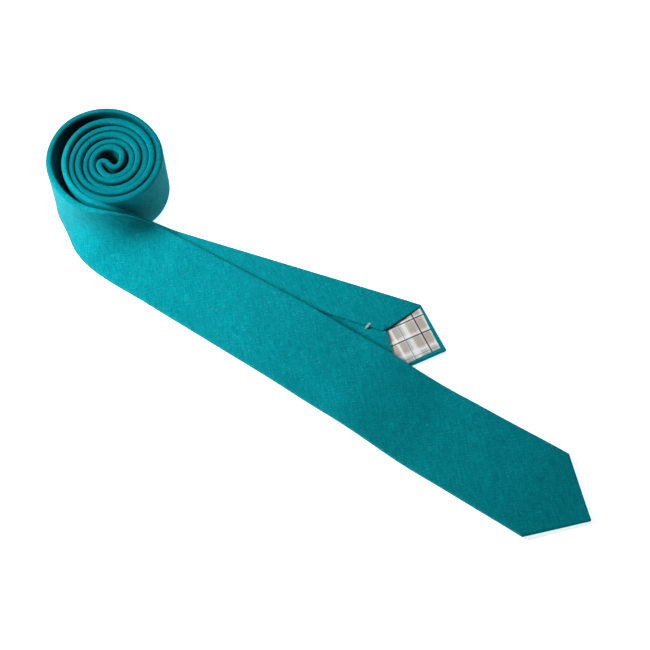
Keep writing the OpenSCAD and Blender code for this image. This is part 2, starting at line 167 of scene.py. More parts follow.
def slant_at(x, twist):
    rise = smooth((x - SLANT_X[0]) / (SLANT_X[1] - SLANT_X[0]))
    return SLANT * rise * smooth((twist[1] - x) / (twist[1] - SLANT_X[2]))


def blade_leans(line):
    return [(x, y, 90 - 90 * lying(x, BLADE_TWIST), slant_at(x, BLADE_TWIST)) for x, y in line]


def tail_leans(line):
    return [(x, y, 90 + 90 * lying(x, TAIL_TWIST), slant_at(x, TAIL_TWIST) * TAIL_SLANT_SHARE)
            for x, y in line]


def standing(line):
    return [(x, y, 90, 0) for x, y in line]


def strand_way():
    """Stations of the whole strand: x, y, lean (0 face up, 90 standing, 180 face down) and slant."""
    blade_from, tail_from = blade_turn(LEAVE_A), tail_turn(LEAVE_A)
    tail_way = np.array([cos_d(TAIL_ANGLE), sin_d(TAIL_ANGLE)])
    cuts = [k / LEAVE_CUTS for k in range(LEAVE_CUTS + 1)]
    blade_fold = np.array([FOLD_X, -BLADE_AXIS])
    blade_out = [bezier(blade_from, blade_from + BLADE_PULL[0] * heading(blade_turn, LEAVE_A),
                        np.array([FOLD_X - BLADE_PULL[1], -BLADE_AXIS]), blade_fold, t)
                 for t in cuts]
    tail_out = [bezier(tail_from, tail_from + TAIL_PULL[0] * heading(tail_turn, LEAVE_A),
                       TAIL_FOLD - TAIL_PULL[1] * tail_way, TAIL_FOLD, t) for t in cuts]
    n_blade, n_tail = math.ceil(BLADE_FLAT / FLAT_STEP), math.ceil(TAIL_FLAT / FLAT_STEP)
    blade_line = [(FOLD_X + BLADE_FLAT * (1 - k / n_blade), -BLADE_AXIS) for k in range(n_blade)]
    tail_line = [TAIL_FOLD + tail_way * TAIL_FLAT * k / n_tail for k in range(1, n_tail + 1)]
    b_steps = math.ceil(360 * BLADE_TURNS / TURN_STEP)
    t_steps = math.ceil(360 * TAIL_TURNS / TURN_STEP)
    blade_coil = [blade_turn(LEAVE_A - 360 * BLADE_TURNS * k / b_steps) for k in range(1, b_steps + 1)]
    tail_coil = [tail_turn(LEAVE_A - 360 * TAIL_TURNS * k / t_steps) for k in range(t_steps, 0, -1)]
    return np.array(blade_leans(blade_line) + blade_leans(blade_out[::-1])
                    + standing(blade_coil + core_line() + tail_coil)
                    + tail_leans(tail_out) + tail_leans(tail_line), float)


WAY = strand_way()
DIST = np.concatenate([[0], np.cumsum(np.hypot(*np.diff(WAY[:, :2], axis=0).T))])
SLOPES = np.gradient(WAY, DIST, axis=0)
STRAND = DIST[-1]
TAIL_END_X = TAIL_FOLD[0] + TAIL_FLAT * cos_d(TAIL_ANGLE)
RIDE_RUN, RIDE_AT = 65, TAIL_END_X + 24
# Centre of the whole outline in plan, measured from the roll's own centre: the row frame's origin
MIDDLE = np.array([161.087, -14.7178])


def along(s):
    """x, y, lean and slant at each distance s, on a smooth curve through the stations."""
    k = np.clip(np.searchsorted(DIST, s, side="right") - 1, 0, len(DIST) - 2)
    step = (DIST[k + 1] - DIST[k])[:, None]
    t = (s - DIST[k])[:, None] / step
    return (WAY[k] * (2 * t ** 3 - 3 * t ** 2 + 1) + SLOPES[k] * step * (t ** 3 - 2 * t ** 2 + t)
            + WAY[k + 1] * (3 * t ** 2 - 2 * t ** 3) + SLOPES[k + 1] * step * (t ** 3 - t ** 2))


# ---- widths, thickness and height along the strand ----
def from_point(s):
    return np.minimum(s, STRAND - s)


def is_blade(s):
    return s < STRAND / 2


def half_w(s):
    band = np.maximum(NECK_W, np.maximum(BLADE_W - BLADE_TAPER * (s - BLADE_W / 2),
                                         TAIL_W - TAIL_TAPER * (STRAND - s - TAIL_W / 2)))
    full = np.where(is_blade(s), BLADE_W, TAIL_W)
    return np.minimum(from_point(s), np.minimum(full, band) / 2)


def share(s):
    return POINT_SHARE + (1 - POINT_SHARE) * smooth(from_point(s) / POINT_RUN)


def waves(x):
    swell = WAVE * (sin_d(360 * x / WAVE_L) + 1)
    return swell * smooth((TAIL_END_X - 30 - x) / 40) * smooth((x - FOLD_X) / 30)


def lift(s, x, lean, bend):
    flat = RIDE * smooth((RIDE_AT - x) / RIDE_RUN) + waves(x)
    twisting = LAYER * cos_d(lean - bend / 2) + (RIDE + waves(x) - LAYER) * (1 - lean / 90)
    return np.where(is_blade(s), np.where(s < BLADE_FLAT, flat, twisting), 0)


def station(s):
    """The band's middle at each distance: place, heading, lean, bow, height and slant, as columns."""
    x, y, lean, slant = along(s).T
    lean, slant = np.clip(lean, 0, 180), np.maximum(slant, 0)
    ahead, behind = along(np.minimum(s + 0.5, STRAND)), along(np.maximum(s - 0.5, 0))
    way = (ahead - behind)[:, :2]
    way /= np.hypot(*way.T)[:, None]
    bend = np.where(is_blade(s), BOW, TAIL_BOW) * sin_d(2 * lean)
    bend = np.where(np.abs(bend) < LEAST_BOW, LEAST_BOW, bend)
    w = 2 * half_w(s)
    edge = np.abs(cos_d(lean - bend / 2)) * THICK * share(s) / 2
    tall = w / np.radians(bend) * (cos_d(lean - bend / 2) - cos_d(lean)) * cos_d(slant)
    tipward = np.where(is_blade(s), -1, 1)
    drift = is_blade(s) * smooth((x - DRIFT_FROM) / DRIFT_RUN)
    x, y = x + DRIFT[0] * drift, y + DRIFT[1] * drift
    height = edge + tall + lift(s, x, lean, bend)
    return x, y, way[:, 0], way[:, 1], lean, bend, height, slant * tipward


def ease(s, v):
    """Height that real cloth adds: the blade's free edge droops, it ripples, and the turns level out."""
    x, along_s, e = along(s)[:, 0][:, None], s[:, None], from_point(s)[:, None]
    on_blade = smooth((BLADE_FLAT - along_s) / 60)
    free_edge, over_tail = smooth((-v - 5) / 20), smooth((x - FOLD_X) / 40)
    droop = DROOP * free_edge * over_tail * smooth((RIDE_AT - 20 - x) / 70)
    ripple = (RIPPLES[0] * np.sin(along_s / 17 + v / 13)
              + RIPPLES[1] * np.sin(along_s / 9.3 - v / 8 + 1) + RIPPLE_REST)
    over_tack = OVER_TACK * smooth((e - 10) / 40)
    narrower = np.maximum(0, ROLLED_W - 2 * half_w(s))[:, None]
    level = LEVEL * smooth((e - 320) / 60) * narrower
    return on_blade * (droop + over_tack + ripple * smooth((e - 40) / 60)) + level


def place_sharp(s, v, n):
    """Points in the row frame, in mm: s (S,) along the strand, v across, n towards its face (S, J)."""
    q = [c[:, None] for c in station(s)]
    w = 2 * half_w(s)[:, None]
    bend = np.radians(q[5])
    a = q[4] + q[5] * v / w
    up = cos_d(q[7]) * w / bend * (cos_d(q[4]) - cos_d(a))
    out = cos_d(q[7]) * w / bend * (sin_d(a) - sin_d(q[4]))
    ahead = v * sin_d(q[7])
    side = n * sin_d(a) - out
    return np.stack([q[0] + q[2] * ahead - q[3] * side - MIDDLE[0],
                     q[1] + q[3] * ahead + q[2] * side - MIDDLE[1],
                     q[6] + up + n * cos_d(a) + ease(s, v)], axis=-1)


def wound_tight(points):
    """The roll drawn in a little towards its own axis, fading out where the two ends leave it."""
    x, y = points[..., 0] + MIDDLE[0], points[..., 1] + MIDDLE[1]
    r = np.hypot(x, y)
    pull = TIGHT * smooth((TIGHT_R[0] - r) / TIGHT_R[1]) * smooth((TIGHT_X[0] - x) / TIGHT_X[1])
    points[..., 0] -= x * pull
    points[..., 1] -= y * pull
    return points


def place(s, v, n):
    """place_sharp with the twist relaxed, as a mean over a short length, and the roll drawn in."""
    from_fold = np.where(is_blade(s), s - BLADE_FLAT, STRAND - TAIL_FLAT - s)
    reach = RELAX * smooth((from_fold + 40) / 40) * smooth((TWIST_LENGTH - from_fold) / 40)
    total, weights = 0, 0
    for offset in np.linspace(-2, 2, 9):
        weight = math.exp(-offset * offset / 2)
        total = total + weight * place_sharp(np.clip(s + offset * reach, 0.02, STRAND - 0.02), v, n)
        weights += weight
    return wound_tight(total / weights)


# ---- meshes ----
def to_object(name, points, faces, uv, material):
    """A smooth-shaded object from points in mm. uv holds one pair for each point, in mm."""
    mesh = bpy.data.meshes.new(name)
    mesh.from_pydata((np.asarray(points, float) * MM).tolist(), [], faces)
    layer = mesh.uv_layers.new(name="cloth")
    corners = np.zeros(len(mesh.loops), np.int32)
    mesh.loops.foreach_get("vertex_index", corners)
    layer.data.foreach_set("uv", (np.asarray(uv, float) * MM)[corners].astype(np.float32).ravel())
    mesh.polygons.foreach_set("use_smooth", np.ones(len(mesh.polygons), bool))
    mesh.validate()
    obj = bpy.data.objects.new(name, mesh)
    bpy.context.scene.collection.objects.link(obj)
    mesh.materials.append(material)
    return obj


def loft(grid):
    """Quads over a grid of points (S rings, J points), closed across, with both ends covered."""
    rings, count = grid.shape[:2]
    i, j = np.meshgrid(np.arange(rings - 1), np.arange(count), indexing="ij")
    a, b = i * count + j, i * count + (j + 1) % count
    sides = np.stack([a, a + count, b + count, b], -1).reshape(-1, 4)
    half = count // 2
    near = [(k, k + 1, count - 2 - k, count - 1 - k) for k in range(half - 1)]
    far = [tuple(n + (rings - 1) * count for n in quad[::-1]) for quad in near]
    return sides.tolist() + near + far


def facing_out(obj):
    """Turns every face outward when the closed mesh came out inside out."""
    mesh = obj.data
    co = np.zeros(len(mesh.vertices) * 3)
    mesh.vertices.foreach_get("co", co)
    co = co.reshape(-1, 3)
    mesh.calc_loop_triangles()
    tri = np.zeros(len(mesh.loop_triangles) * 3, np.int32)
    mesh.loop_triangles.foreach_get("vertices", tri)
    a, b, c = (co[tri.reshape(-1, 3)[:, k]] for k in range(3))
    if (a * np.cross(b, c)).sum() < 0:
        mesh.flip_normals()
    return obj


FLAT_RING, COIL_RING, CORE_RING = 2.0, 1.6, 0.8  # most distance between two rings of a mesh
COIL_BEND, CORE_BEND = 0.005, 0.09   # radians per mm from which the strand counts as coil, and as core


def stops(s0, s1):
    """Distances of the rings from s0 to s1, closer together where the strand bends more."""
    out = [s0]
    bend = np.abs(np.gradient(np.unwrap(np.arctan2(SLOPES[:, 1], SLOPES[:, 0])), DIST))
    for k in range(len(DIST) - 1):
        a, b = max(DIST[k], s0), min(DIST[k + 1], s1)
        if b - a < 1e-6:
            continue
        most = max(bend[k], bend[k + 1])
        step = FLAT_RING if most < COIL_BEND else COIL_RING if most < CORE_BEND else CORE_RING
        cuts = max(1, math.ceil((b - a) / step))
        out += [a + (b - a) * i / cuts for i in range(1, cuts + 1)]
    return np.array(out)


# ---- section of the folded cloth ----
FLAP_HEM = 1.0       # thickness of a flap's edge, where the cloth is turned in
SEAM_V = -1.2        # the outer flap ends here, just past the centre
UNDER_V = 5.0        # the inner flap goes on under it as far as this
HEM_BACK = 1.6       # the flaps' edges stay this far inside the band's own edge
POINT_ROUND = 2.2    # length over which the very point is rounded off
SQUARE = 0.8         # below 1 makes the folded edge squarer than a half circle
N_BACK, N_FOLD, N_FRONT = 18, 14, 26  # points over a flap, round a folded edge and over the front


def full_shoulder(s):
    return np.where(is_blade(s), BLADE_W, TAIL_W) / 2


def flap_ends(s):
    """Where the outer flap and the inner flap end, measured across from the centre."""
    e, sh = from_point(s), full_shoulder(s)
    seam, far = sh * (1 + MOUTH), sh - HEM_BACK
    near_sh = (e / sh) ** 3
    at_point = np.maximum(e - HEM * math.sqrt(2) * (1 - near_sh) - HEM_BACK * near_sh, 0.06)
    mouth = far * (seam - e) / (seam - sh)
    outer = np.where(e < sh, at_point, np.maximum(mouth, SEAM_V))
    inner = np.where(e < sh, -at_point, np.minimum(-mouth, UNDER_V))
    return outer, inner


def point_round(s):
    """Thins the band towards its very point, so that it ends in a soft corner."""
    into = np.minimum(from_point(s), POINT_ROUND) / POINT_ROUND
    return np.sqrt(np.clip(1 - (1 - into) ** 2, 0.12, 1))


def shell_outline(s):
    """The folded cloth's outside, v and n, from the outer flap's end round to the inner flap's end."""
    h, k = half_w(s), share(s) * point_round(s)
    t = THICK * k / 2 * (1 + FULLER * smooth((from_point(s) - 300) / 60))
    r = np.minimum(t, h * 0.5)
    outer, inner = flap_ends(s)
    outer, inner = np.minimum(outer, h - r - 0.02), np.maximum(inner, r - h + 0.02)
    lapped = smooth((inner - outer + 0.5) / 3)
    ramp = np.linspace(0, 1, N_BACK) ** 1.25
    v_out = outer[:, None] + (h - r - outer)[:, None] * ramp
    raised = np.where(is_blade(s), 0.15, 0.7) * lapped
    lifted = raised[:, None] * smooth(1 - (v_out - outer[:, None]) / 9)
    n_out = -t[:, None] - lifted
    turn = np.radians(np.linspace(-90, 90, N_FOLD + 2)[1:-1])
    v_up = (h - r)[:, None] + r[:, None] * np.cos(turn) ** SQUARE
    n_up = t[:, None] * np.sign(np.sin(turn)) * np.abs(np.sin(turn)) ** SQUARE
    v_front = (h - r)[:, None] * np.linspace(1, -1, N_FRONT)
    v_in = (inner[:, None] + (r - h - inner)[:, None] * ramp)[:, ::-1]
    jog = (FABRIC + PLY_GAP + 0.5) * lapped[:, None] * smooth((v_in - outer[:, None] + 3) / 2.6)
    n_in = -t[:, None] + jog
    v = np.hstack([v_out, v_up, v_front, -v_up[:, ::-1], v_in])
    n = np.hstack([n_out, n_up, np.repeat(t[:, None], N_FRONT, 1), n_up[:, ::-1], n_in])
    return v, n


def inside_of(v, n, s):
    """The cloth's inner face: the outline moved in by the cloth's thickness, more at the hemmed ends."""
    dv, dn = np.gradient(v, axis=1), np.gradient(n, axis=1)
    length = np.maximum(np.hypot(dv, dn), 1e-6)
    k = (share(s) * point_round(s))[:, None]
    reach = np.cumsum(np.hypot(np.diff(v, axis=1), np.diff(n, axis=1)), axis=1)
    reach = np.hstack([np.zeros((len(s), 1)), reach])
    from_end = np.minimum(reach, reach[:, -1:] - reach)
    depth = (FABRIC + (FLAP_HEM - FABRIC) * smooth(1 - from_end / 5)) * k
    return v - dn / length * depth, n + dv / length * depth


def shell_grid(s):
    """Points and uv of the folded cloth: its outside, a round cap, its inside and the other cap."""
    v, n = shell_outline(s)
    vi, ni = inside_of(v, n, s)
    soft = point_round(s)[:, None]
    cap_a = ((v[:, :1] + vi[:, :1]) / 2 - 0.28 * soft, (n[:, :1] + ni[:, :1]) / 2)
    cap_b = ((v[:, -1:] + vi[:, -1:]) / 2 + 0.2 * soft, (n[:, -1:] + ni[:, -1:]) / 2)
    all_v = np.hstack([cap_a[0], v, cap_b[0], cap_b[0] + 0.02, vi[:, ::-1], cap_a[0] - 0.02])
    all_n = np.hstack([cap_a[1], n, cap_b[1], cap_b[1], ni[:, ::-1], cap_a[1]])
    reach = np.cumsum(np.hypot(np.diff(v, axis=1), np.diff(n, axis=1)), axis=1)
    reach = np.hstack([np.zeros((len(s), 1)), reach])
    reach = reach - reach[:, reach.shape[1] // 2][:, None]
    first, last = reach[:, :1], reach[:, -1:]
    across = np.hstack([first, reach, last, last, reach[:, ::-1], first])
    uv = np.stack([np.repeat(s[:, None], all_v.shape[1], 1), across], -1)
    return place(s, all_v, all_n), uv


FIRST_RING = 0.3     # distance of a mesh's first ring from the point


def end_stops(w):
    """Close rings round a point and its opening, as distances from the point."""
    near = list(np.linspace(FIRST_RING, 3, 9)) + list(np.arange(4, w / 2, 1.0))
    return near + list(np.linspace(w / 2, w / 2 * (1 + MOUTH) + 6, 28))


def cloth(name, s, material):
    grid, uv = shell_grid(s)
    return facing_out(to_object(name, grid.reshape(-1, 3), loft(grid), uv.reshape(-1, 2), material))


def slab(name, s, half, low, high, material, columns=12):
    """A soft-edged ply between n = low and n = high, half as wide as half, along the strand."""
    x = np.linspace(-1, 1, columns)[None, :]
    soft = 1 - 0.35 * np.abs(x) ** 6
    middle, thick = ((low + high) / 2)[:, None], ((high - low) / 2)[:, None]
    v = half[:, None] * x
    top, bottom = middle + thick * soft, middle - thick * soft
    all_v = np.hstack([v, v[:, ::-1]])
    all_n = np.hstack([top, bottom[:, ::-1]])
    grid = place(s, all_v, all_n)
    uv = np.stack([np.repeat(from_point(s)[:, None], all_v.shape[1], 1), all_v], -1)
    return facing_out(to_object(name, grid.reshape(-1, 3), loft(grid), uv.reshape(-1, 2), material))


OVER_LINING = 14     # past the opening by this much, the wool no longer has the lining under it
LINING_COLUMNS = 40  # points across the lining, more than across the wool because it shows


def wool_ply(name, s, material):
    k = share(s) * point_round(s)
    t = THICK * k / 2
    over = np.where(from_point(s) > full_shoulder(s) * (1 + MOUTH) + OVER_LINING, 0, 1)
    low = (2 * FABRIC + 2 * PLY_GAP + 0.15 + TIPPING_T * over) * k - t
    high = t - (FABRIC + PLY_GAP + 0.1) * k
    return slab(name, s, half_w(s) - t - PLY_GAP, low, high, material)


def tipping_ply(name, s, material):
    k = share(s) * point_round(s)
    t = THICK * k / 2
    sh = full_shoulder(s)
    depth = smooth((from_point(s) - sh) / (sh * MOUTH) * 1.6)
    low = (FLAP_HEM + 0.05 + depth * (FABRIC + PLY_GAP)) * k - t
    half = half_w(s) - np.minimum(t, half_w(s) * 0.5) - 0.1
    return slab(name, s, half, low, low + TIPPING_T * k, material, LINING_COLUMNS)


# ---- threads ----
def tube(path, radius, sides=8):
    """Points and faces of a thread along a path in mm, closed at both ends."""
    path = np.asarray(path, float)
    way = np.gradient(path, axis=0)
    way /= np.linalg.norm(way, axis=1)[:, None]
    across = np.cross(way, [0.31, 0.22, 0.93])
    across /= np.linalg.norm(across, axis=1)[:, None]
    other = np.cross(way, across)
    turn = np.linspace(0, 2 * math.pi, sides, endpoint=False)
    taper = np.ones(len(path))
    taper[[0, -1]] = 0.5
    ring = (np.cos(turn)[None, :, None] * across[:, None] + np.sin(turn)[None, :, None] * other[:, None])
    grid = path[:, None] + ring * radius * taper[:, None, None]
    quads = loft(grid)[:(len(path) - 1) * sides]
    last = (len(path) - 1) * sides
    return grid.reshape(-1, 3), quads + [tuple(range(sides))[::-1], tuple(range(last, last + sides))]


def threads(name, tubes, material):
    """One object from several separate threads."""
    points, faces, uv, base = [], [], [], 0
    for number, (p, f) in enumerate(tubes):
        points.append(p)
        faces += [tuple(int(k) + base for k in face) for face in f]
        uv.append(np.stack([np.linspace(0, 5, len(p)), np.full(len(p), number * 1.0)], -1))
        base += len(p)
    return facing_out(to_object(name, np.vstack(points), faces, np.vstack(uv), material))


def on_band(s, v, n):
    """Points at matching lists of distance, across and depth."""
    s, v, n = (np.atleast_1d(np.asarray(c, float)) for c in (s, v, n))
    s, v, n = np.broadcast_arrays(s, v, n)
    return place(s, v[:, None], n[:, None])[:, 0]


def bar_tack(name, s, material, strands=7):
    """Satin stitches side by side over the outer flap's edge, a little askew."""
    made = []
    base = -THICK * float(share(np.array([s]))[0]) / 2
    for k in range(strands):
        f = k / (strands - 1) - 0.5
        t = np.linspace(-1, 1, 15)
        v = SEAM_V + t * (TACK_L / 2 - 0.5 * abs(f))
        along_seam = s + f * (TACK_W - 0.7) * (1 + 0.35 * t) + 0.9 * t
        dive = 1.2 * smooth((np.abs(t) - 0.72) / 0.28)
        lying_n = base - 0.45 - 0.35 * smooth(1 - np.abs(t)) + dive
        made.append(tube(on_band(along_seam, v, lying_n), 0.17 + 0.02 * (k % 2)))
    t = np.linspace(-1, 1, 9)
    for end in (-0.55, 0, 0.55):
        path = on_band(s + end + t * 0.95, SEAM_V + end * 3.2 + 0.15 * t, base - 0.78 + 0.25 * t ** 2)
        made.append(tube(path, 0.13))
    return threads(name, made, material)


def slip_thread(name, spans, material):
    """The loose thread under the seam: it runs between the flaps and dips at each stitch."""
    made = []
    for s0, s1 in spans:
        count = int((s1 - s0) // STITCH_PITCH)
        s = np.linspace(s0, s1, count * 12 + 1)
        phase = np.linspace(0, count * 2 * math.pi, len(s))
        dip = np.clip(np.cos(phase), 0, 1) ** 8
        k = share(s)
        n = -THICK * k / 2 + (FABRIC + PLY_GAP * 0.5) * k + 0.1 * np.sin(phase) - 0.3 * dip
        made.append(tube(on_band(s, LAP / 4 + 0.35 * np.sin(phase), n), THREAD_D * 0.32, 6))
    return threads(name, made, material)


def seam_thread(name, s, material, stitches=9):
    """Machine stitches that join two lengths of cloth, inside the front ply."""
    w = 2 * float(half_w(np.array([s]))[0])
    made = []
    for k in range(stitches):
        v = w * (k / (stitches - 1) - 0.5) * 0.8
        t = np.linspace(-1, 1, 7)
        n = THICK / 2 - FABRIC / 2 + 0.08 * t ** 2
        made.append(tube(on_band(s + 1.4 * t, v, n), FABRIC * 0.3, 6))
    return threads(name, made, material)


def keeper_strip(name, material):
    """The keeper loop: a strip of the same cloth, sewn down at both ends and standing off between."""
    s = LOOP_AT + LOOP_W * (0.5 + 0.5 * np.sin(np.linspace(-math.pi / 2, math.pi / 2, 25)))
    v = np.linspace(-LOOP_L / 2, LOOP_L / 2, 61)
    off = smooth((LOOP_L / 2 - LOOP_END - np.abs(v)) / 4) * LOOP_RISE
    inner = -THICK / 2 - PLY_GAP - off
    edge = 1 - 0.45 * np.abs((s - LOOP_AT) / LOOP_W * 2 - 1)[:, None] ** 8
    top = inner[None, :] - LOOP_T / 2 + LOOP_T / 2 * edge
    bottom = inner[None, :] - LOOP_T / 2 - LOOP_T / 2 * edge
    all_v = np.hstack([np.repeat(v[None], len(s), 0), np.repeat(v[None, ::-1], len(s), 0)])
    grid = place(s, all_v, np.hstack([top, bottom[:, ::-1]]))
    uv = np.stack([np.repeat(s[:, None], all_v.shape[1], 1), all_v], -1)
    return facing_out(to_object(name, grid.reshape(-1, 3), loft(grid), uv.reshape(-1, 2), material))


def keeper_thread(name, material):
    """Five short stitches through each end of the keeper loop."""
    made = []
    low, high = -THICK / 2 - PLY_GAP - LOOP_T - 0.12, -THICK / 2 + FABRIC * 0.6
    for side in (-1, 1):
        v = side * (LOOP_L / 2 - 2.5)
        for f in (0.14, 0.32, 0.5, 0.68, 0.86):
            t = np.linspace(-1, 1, 11)
            n = low + (high - low) * smooth((np.abs(t) - 0.55) / 0.45)
            made.append(tube(on_band(LOOP_AT + LOOP_W * f + 0.8 * t, v + 0.25 * t, n), 0.16, 6))
    return threads(name, made, material)


# ---- materials ----
class Nodes:
    """Short calls for building a material's node tree."""

    def __init__(self, name, roughness, sheen, specular=0.3, tint=(1, 1, 1, 1)):
        self.material = bpy.data.materials.new(name)
        self.material.use_nodes = True
        self.tree = self.material.node_tree
        self.shader = self.tree.nodes["Principled BSDF"]
        self.shader.inputs["Roughness"].default_value = roughness
        self.shader.inputs["Sheen Weight"].default_value = sheen
        self.shader.inputs["Sheen Tint"].default_value = tint
        self.shader.inputs["Specular Tint"].default_value = tint
        self.shader.inputs["Sheen Roughness"].default_value = 0.45
        self.shader.inputs["Specular IOR Level"].default_value = specular

    def put(self, socket, value):
        if hasattr(value, "links"):
            self.tree.links.new(value, socket)
        elif value is not None:
            socket.default_value = value

    def math(self, operation, a, b=None, c=None):
        node = self.tree.nodes.new("ShaderNodeMath")
        node.operation = operation
        for socket, value in zip(node.inputs, (a, b, c)):
            self.put(socket, value)
        return node.outputs[0]

    def uv(self):
        """Along and across in mm."""
        node = self.tree.nodes.new("ShaderNodeUVMap")
        node.uv_map = "cloth"
        parts = self.tree.nodes.new("ShaderNodeSeparateXYZ")
        self.tree.links.new(node.outputs[0], parts.inputs[0])
        in_mm = [self.math("MULTIPLY", parts.outputs[k], 1000) for k in range(2)]
        return in_mm[0], in_mm[1]

    def vector(self, x, y, z=0.0):
        node = self.tree.nodes.new("ShaderNodeCombineXYZ")
        for socket, value in zip(node.inputs, (x, y, z)):
            self.put(socket, value)
        return node.outputs[0]

    def noise(self, vector, scale, detail=2.0, roughness=0.5):
        node = self.tree.nodes.new("ShaderNodeTexNoise")
        self.put(node.inputs["Vector"], vector)
        node.inputs["Scale"].default_value = scale
        node.inputs["Detail"].default_value = detail
        node.inputs["Roughness"].default_value = roughness
        return node.outputs[0]

    def remap(self, value, low, high, to_low=0.0, to_high=1.0):
        node = self.tree.nodes.new("ShaderNodeMapRange")
        node.interpolation_type = "SMOOTHSTEP"
        for socket, v in zip(node.inputs, (value, low, high, to_low, to_high)):
            self.put(socket, v)
        return node.outputs[0]

    def mix(self, factor, a, b):
        node = self.tree.nodes.new("ShaderNodeMix")
        node.data_type = "RGBA"
        self.put(node.inputs[0], factor)
        self.put(node.inputs[6], a)
        self.put(node.inputs[7], b)
        return node.outputs[2]

    def bump(self, height, strength, distance, normal=None):
        node = self.tree.nodes.new("ShaderNodeBump")
        node.inputs["Strength"].default_value = strength
        node.inputs["Distance"].default_value = distance
        self.put(node.inputs["Height"], height)
        if normal is not None:
            self.put(node.inputs["Normal"], normal)
        return node.outputs[0]

    def colour(self, value):
        self.put(self.shader.inputs["Base Color"], value)

    def normal(self, value):
        self.put(self.shader.inputs["Normal"], value)


def srgb(r, g, b):
    """A colour given as 0 to 255 on screen, as the linear colour that a shader takes."""
    lin = [((c / 255 + 0.055) / 1.055) ** 2.4 if c > 10 else c / 255 / 12.92 for c in (r, g, b)]
    return (*lin, 1.0)


BIAS = 45            # degrees between the threads and the tie's length


def bias(n, along_uv, across_uv):
    """Places in mm along the two sets of threads: the cloth of a tie is cut on the bias."""
    c, s = math.cos(math.radians(BIAS)), math.sin(math.radians(BIAS))
    a = n.math("ADD", n.math("MULTIPLY", along_uv, c), n.math("MULTIPLY", across_uv, s))
    b = n.math("SUBTRACT", n.math("MULTIPLY", across_uv, c), n.math("MULTIPLY", along_uv, s))
    return a, b


def plain_weave(n, a, b, pitch, uneven):
    """Height of a plain weave, and 1 where a warp thread is on top. a and b are in mm."""
    wander = n.vector(n.math("MULTIPLY", a, 0.3), n.math("MULTIPLY", b, 0.3))
    drift = n.math("MULTIPLY", n.math("SUBTRACT", n.noise(wander, 1.0), 0.5), uneven)
    x = n.math("ADD", n.math("DIVIDE", a, pitch), drift)
    y = n.math("SUBTRACT", n.math("DIVIDE", b, pitch), drift)

    def thread(run, cross, sign):
        number = n.math("FLOOR", cross)
        inside = n.math("SUBTRACT", n.math("MULTIPLY", n.math("FRACT", cross), 2.0), 1.0)
        body = n.math("SQRT", n.math("SUBTRACT", 1.0, n.math("MULTIPLY", inside, inside)))
        crimp = n.math("SINE", n.math("MULTIPLY", n.math("ADD", run, number), math.pi))
        return n.math("MULTIPLY_ADD", crimp, 0.5 * sign, body)

    warp, weft = thread(x, y, 1), thread(y, x, -1)
    return n.math("MAXIMUM", warp, weft), n.math("GREATER_THAN", warp, weft)


OUTER_TURN_END = BLADE_FLAT + 310    # about where the roll's outer turn ends and the next begins
# The painted shade of the roll sets in between these distances from the blade's point, and from the
# tail's
ROLLED_FROM, ROLLED_TO = (370, 420), (280, 310)
TEAL_PITCH, LINING_PITCH, WOOL_PITCH = 0.42, 0.25, 0.9  # mm from thread to thread
TEAL_DEEP, TEAL_BRIGHT, TEAL_CLOUD = srgb(2, 112, 123), srgb(9, 158, 168), srgb(6, 128, 138)
TEAL_FLECK, TEAL_GAP = srgb(70, 188, 193), srgb(0, 60, 70)
# Painted shade: a dark teal for the roll's folded edges, and a darker one for the walls between its
# turns
PAINTED_EDGE_SHADE, PAINTED_WALL_SHADE = srgb(2, 70, 80), srgb(0, 36, 42)


